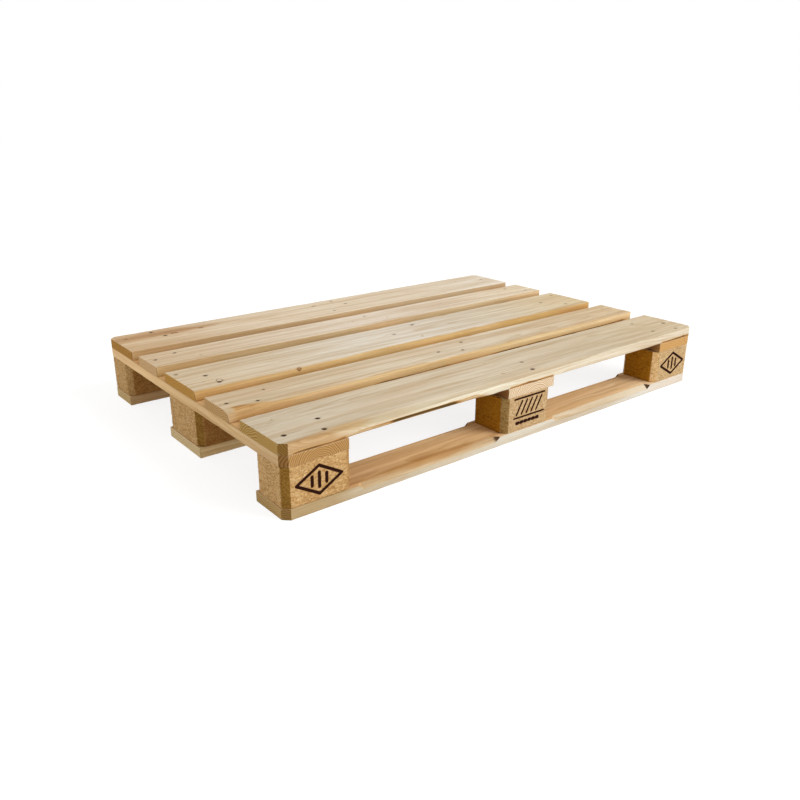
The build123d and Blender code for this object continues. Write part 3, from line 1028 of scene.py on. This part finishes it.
# Painted shade on the stringers' left sides above the near blocks, under the deck.
STRINGER_PAINTED_SHADE = (128, 80, 22)
STRINGER = dict(broad=((204, 164, 114), (206, 168, 118), (210, 172, 124)),
                narrow=((206, 172, 126), (206, 172, 126)), drift=(0.004, 0.004))
WOODS = {
    "deck_board_near_edge": Wood(
        broad=((203, 192, 172), (212, 200, 178), (214, 198, 169)),
        narrow=((220, 211, 188), (222, 213, 195)), end=(184, 150, 82),
        pith=(18, -48), drift=(0.008, 0.016), ring=4.2, contrast=0.42,
        patches=((-460, -64, 60, 10, (200, 166, 112), 0.65), (-550, -72, 80, 10, (190, 150, 96), 0.75)),
        swirls=((-535, -72, 3, 34, 22), (-452, -72, -6, 24, 15))),
    "deck_board_near_inner": Wood(
        patches=((-595, -62, 16, 22, (214, 186, 150), 0.7),),
        broad=((204, 188, 161), (216, 203, 181), (217, 197, 165)),
        narrow=((188, 151, 97), (228, 203, 153)), end=(196, 160, 106), side_shading=1.0,
        pith=(-30, -70), drift=(0.02, -0.008), ring=3.4, contrast=0.4, blush=(208, 172, 136)),
    "deck_board_centre": Wood(
        broad=((205, 188, 161), (220, 213, 200), (216, 199, 165)),
        narrow=((189, 151, 94), (202, 163, 98)), end=(192, 146, 64), side_shading=1.0,
        patches=((-100, -72.5, 230, 8, (212, 180, 124), 0.85),),
        pith=(-12, -62), drift=(-0.012, 0.012), ring=3.8, contrast=0.36,
        knots=((-361, -71, 3.6, 1.6),), hammer_rings=((-531, -41, 6.5, 1.15),)),
    "deck_board_far_inner": Wood(
        broad=((205, 186, 158), (224, 212, 196), (230, 217, 194)),
        narrow=((181, 151, 103), (207, 180, 136)), end=(214, 179, 130), side_shading=1.0,
        pith=(25, -55), drift=(0.015, 0.01), ring=3.0, contrast=0.34),
    "deck_board_far_edge": Wood(
        broad=((207, 182, 148), (223, 209, 187), (233, 226, 213)),
        narrow=((184, 153, 110), (190, 163, 125)), end=(180, 132, 46), side_shading=0.6,
        pith=(8, -40), drift=(0.01, 0.02), ring=3.6, contrast=0.36,
        patches=((-500, 36, 190, 34, RED_STREAK, 0.75), (-400, 26, 110, 14, RED_STREAK, 0.6)),
        knots=((-460, 16, 4, 2.0), (-389, 20, 4, 1.6))),
    "stringer_board_left": Wood(
        broad=((204, 162, 110), (206, 166, 116), (206, 166, 116)),
        narrow=((236, 198, 145), (203, 173, 127)), end=(184, 145, 90),
        pith=(0, -18), drift=(0.004, 0.004), ring=4.0, contrast=0.5),
    "stringer_board_middle": Wood(
        **STRINGER, end=(232, 211, 182), pith=(-10, -34), ring=3.9, contrast=0.45,
        patches=((-330, 70, 130, 10, STRINGER_PAINTED_SHADE, 0.85),)),
    "stringer_board_right": Wood(
        **STRINGER, end=(215, 171, 108), pith=(14, -26), ring=4.1, contrast=0.45,
        patches=((-330, 68, 130, 10, STRINGER_PAINTED_SHADE, 0.85),)),
    "bottom_board_near": Wood(
        broad=((208, 165, 112), (238, 202, 154), (252, 226, 186)),
        narrow=((184, 168, 138), (222, 219, 212)), end=(189, 159, 104),
        patches=((-275, -35.5, 200, 12, (186, 138, 80), 0.85), (-545, -50, 80, 9, (172, 146, 100), 0.6)),
        pith=(-20, -58), drift=(0.014, 0.008), ring=3.3, contrast=0.4),
    "bottom_board_centre": Wood(
        # The patch is painted light on the near side, which lies in shade under the deck.
        patches=((-530, -72, 190, 12, (242, 219, 170), 0.95),),
        broad=((206, 164, 114), (208, 166, 118), (212, 170, 122)),
        narrow=((196, 160, 112), (206, 170, 122)), end=(227, 207, 162),
        pith=(12, -52), drift=(0.01, 0.01), ring=3.5, contrast=0.42, knots=((210, 30, 8, 1.3),)),
    "bottom_board_far": Wood(
        # The patch is painted light on the near side, which lies in shade under the deck.
        patches=((-530, -50, 190, 12, (215, 183, 137), 0.95),),
        broad=((204, 160, 110), (206, 164, 114), (210, 168, 118)),
        narrow=((190, 152, 104), (200, 164, 118)), end=(212, 186, 133),
        pith=(22, -64), drift=(-0.012, 0.01), ring=3.1, contrast=0.42, knots=((-260, -22, 7, 1.4),)),
}

NEAR_CUTS = ((-1, -1), (1, -1))
FAR_CUTS = ((-1, 1), (1, 1))
# The bevels of the bottom boards stop short of the blocks, and run out where the cutter left the wood.
BEVEL = dict(run=12.0, drop=10.0, fade_in=12.0, fade_out=12.0, bulge=0.0)
BEVELS = (Edge(-433.0, -94.5, **BEVEL), Edge(94.5, 433.0, **BEVEL))
SAWN = {
    "deck_board_near_edge": Sawn(
        near_top=(Edge(-500, -330, 10, 8, 70, 190, 0.04), Edge(-400, 130, 13, 4.6, 90, 110, 0.0, 0.2)),
        # Over the three stringers the near lower edge carries painted shade, as dark joint lines.
        near_bottom=(Edge(-565, -474, 2.0, 2.4, 25, 8, 0.9), Edge(-420, -160, 6, 8.0, 90, 50, 0.42),
                     Edge(-355, -225, 7, 8.6, 30, 40, 1.0),
                     Edge(-58, 70, 1.3, 1.5, 6, 6, 0.95), Edge(474, 586, 1.2, 1.4, 6, 6, 0.9)),
        cracks=(Crack(26, -600, -520, 0.5, 3.0), Crack(-36.5, -590, -545, 0.4, 1.6)), cuts=NEAR_CUTS),
    "deck_board_near_inner": Sawn(
        near_top=(Edge(-600, -592, 25, 18, 5, 105), Edge(-576, -560, 12, 13, 12, 75, 0.55),
                  Edge(-480, -150, 7, 7, 90, 60, 0.14), Edge(40, 480, 8, 8, 70, 80, 0.15)),
        # The near lower edge carries painted shade: a dark foot of the side, in the gap.
        near_bottom=(Edge(-240, -90, 2.3, 3.7, 60, 60, 0.9), Edge(-120, 150, 2.1, 3.4, 40, 40, 0.6),
                     Edge(120, 560, 2.3, 3.7, 80, 40, 0.9)),
        cracks=(Crack(-8, 520, 600, 0.45, 2.5),)),
    "deck_board_centre": Sawn(
        near_top=(Edge(-600, -300, 7, 8, 5, 160, 0.1), Edge(0, 430, 6, 7, 160, 120, 0.15)),
        cracks=(Crack(-30, -600, -545, 0.5, 3.0),)),
    "deck_board_far_inner": Sawn(cracks=(Crack(12, -600, -548, 0.4, 2.0),)),
    "deck_board_far_edge": Sawn(
        cracks=(Crack(30, -600, -470, 0.6, 3.5), Crack(14, -520, -430, 0.45, 2.2)), cuts=FAR_CUTS),
    "stringer_board_left": Sawn(cuts=((-1, 1), (1, 1))),
    "stringer_board_middle": Sawn(),
    "stringer_board_right": Sawn(cuts=((-1, -1), (1, -1))),
    "bottom_board_near": Sawn(near_top=BEVELS, far_top=BEVELS, cuts=NEAR_CUTS),
    "bottom_board_centre": Sawn(near_top=BEVELS, far_top=BEVELS),
    "bottom_board_far": Sawn(near_top=BEVELS, far_top=BEVELS, cuts=FAR_CUTS),
}


def nails_on(node, groups):
    """Place, from the board's middle, and head radius of the nails of some groups that are in it."""
    _, size, middle = measured(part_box(node))
    found = []
    for group in groups:
        places, _, head, _ = nail_places(group)
        offsets = np.array(places) - middle[:2]
        found += [(x, y, head) for x, y in offsets if 2 * abs(x) < size[0] and 2 * abs(y) < size[1]]
    return tuple(found)


for seed, (node, wood) in enumerate(WOODS.items(), 1):
    family = node.split("_")[0]
    crosswise = family == "stringer"
    shape = SAWN[node]
    if family == "deck":
        shape.top_nails = nails_on(node, ("deck_nails_long", "deck_nails_short"))
    if family == "bottom":
        shape.bottom_nails = nails_on(node, ("bottom_nails",))
    mesh = board_mesh(node + "_wood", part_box(node), crosswise, shape, seed)
    paint = timber(node + "_timber", wood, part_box(node), crosswise, seed)
    new_piece(node + "_wood", mesh, paint, node)

MARKS = {"left": diamond_mark(), "middle": hatch_mark(), "right": diamond_mark()}
CHIP_TINTS = ((1.0, 1.0, 0.96), (0.94, 1.0, 1.12), (1.0, 1.08, 1.2))
CHIP_SHIFTS = (-0.04, 0.06, 0.03)
chips = [pressed_chips(f"pressed_chips_{number}", number, tint, shift)
         for number, (tint, shift) in enumerate(zip(CHIP_TINTS, CHIP_SHIFTS))]
for number, (column, mark) in enumerate(MARKS.items()):
    for row in ("near", "centre", "far"):
        node = f"block_{column}_{row}"
        near_mark = mark if row == "near" else None
        far_mark = mark if row == "far" else None
        cut_inside_shading = CUT_INSIDE_SHADING.get(node, CUT_INSIDE_SHADING[column])
        mesh = block_mesh(node + "_chips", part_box(node), 3 * number + len(row), cut_inside_shading,
                          near_mark, far_mark)
        new_piece(node + "_chips", mesh, chips[number], node)

steel = nail_steel("nail_steel")
for seed, node in enumerate(("deck_nails_long", "deck_nails_short", "bottom_nails"), 1):
    new_piece(node + "_steel", nails_mesh(node + "_steel", node, seed), steel, node)
